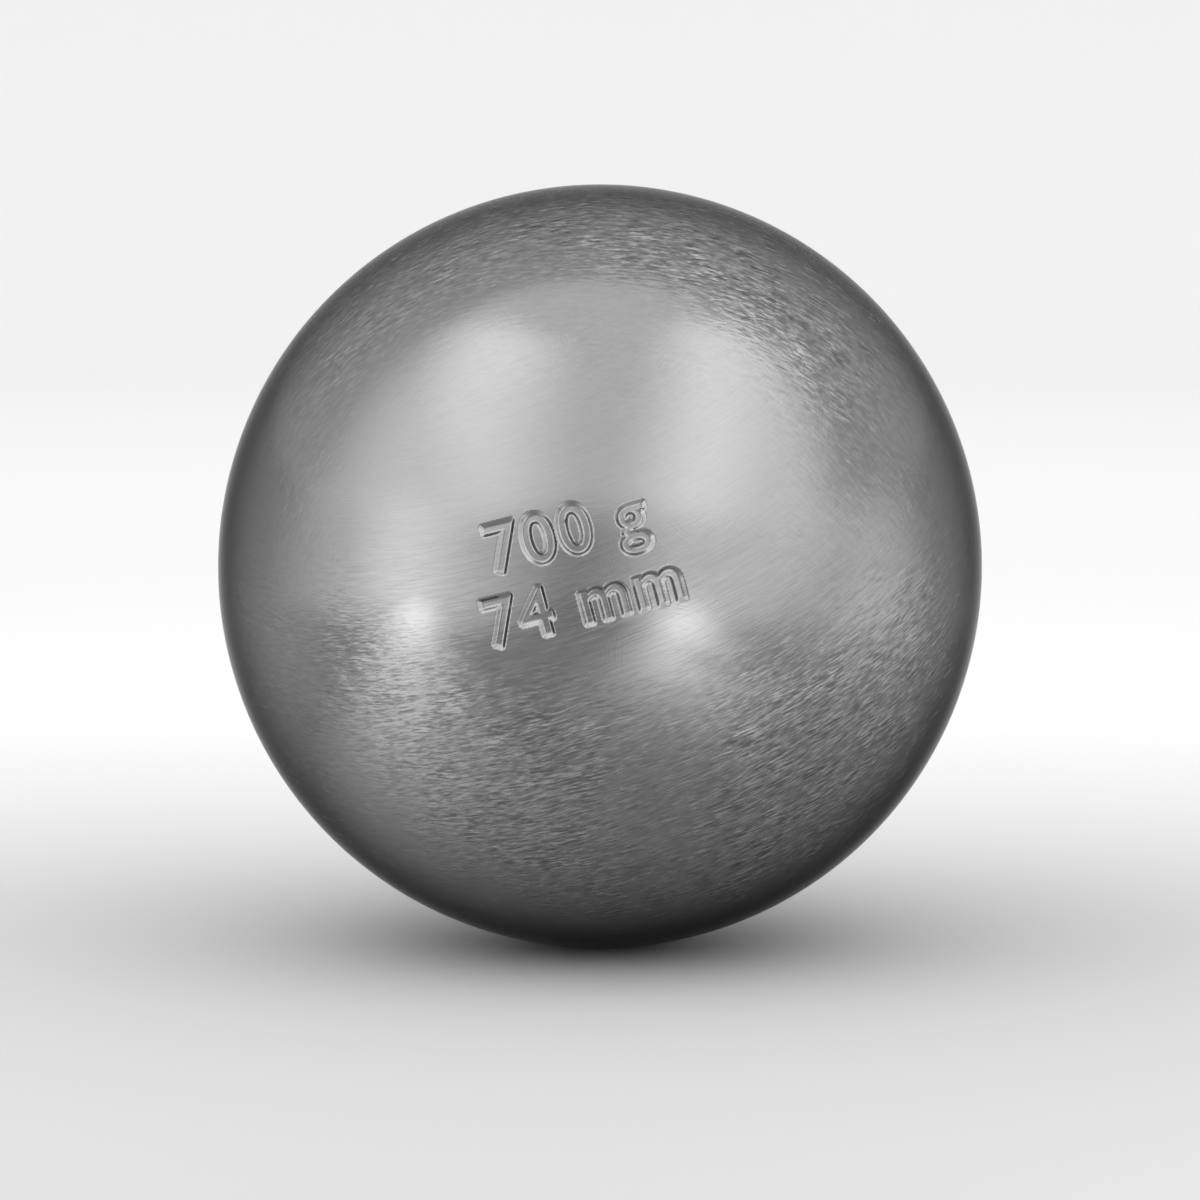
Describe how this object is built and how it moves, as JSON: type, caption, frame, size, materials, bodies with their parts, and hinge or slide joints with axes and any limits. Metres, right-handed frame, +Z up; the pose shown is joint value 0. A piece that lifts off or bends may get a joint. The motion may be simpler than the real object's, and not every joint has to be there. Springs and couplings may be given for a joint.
{
  "type": "petanque boule",
  "caption": "Hollow steel throwing ball for petanque: half shells centred by a spigot, ring-welded, turned flush and finished satin.",
  "frame": {"origin": "centre of the sphere", "axes": "+Z up; +Y along the weld axis, from the stamped half towards the plain half, so the stamped figures face -Y; +X to the right as the figures are read"},
  "size_m": [0.074, 0.074, 0.074],
  "materials": {
    "satin_steel": "satin, brushed in short soft streaks, smoother on the front",
    "weld_metal": "turned flush and satin, like the shells"
  },
  "bodies": {
    "root": {"marked_half_shell": "satin_steel", "plain_half_shell": "satin_steel", "ring_weld": "weld_metal"}
  },
  "joints": []
}
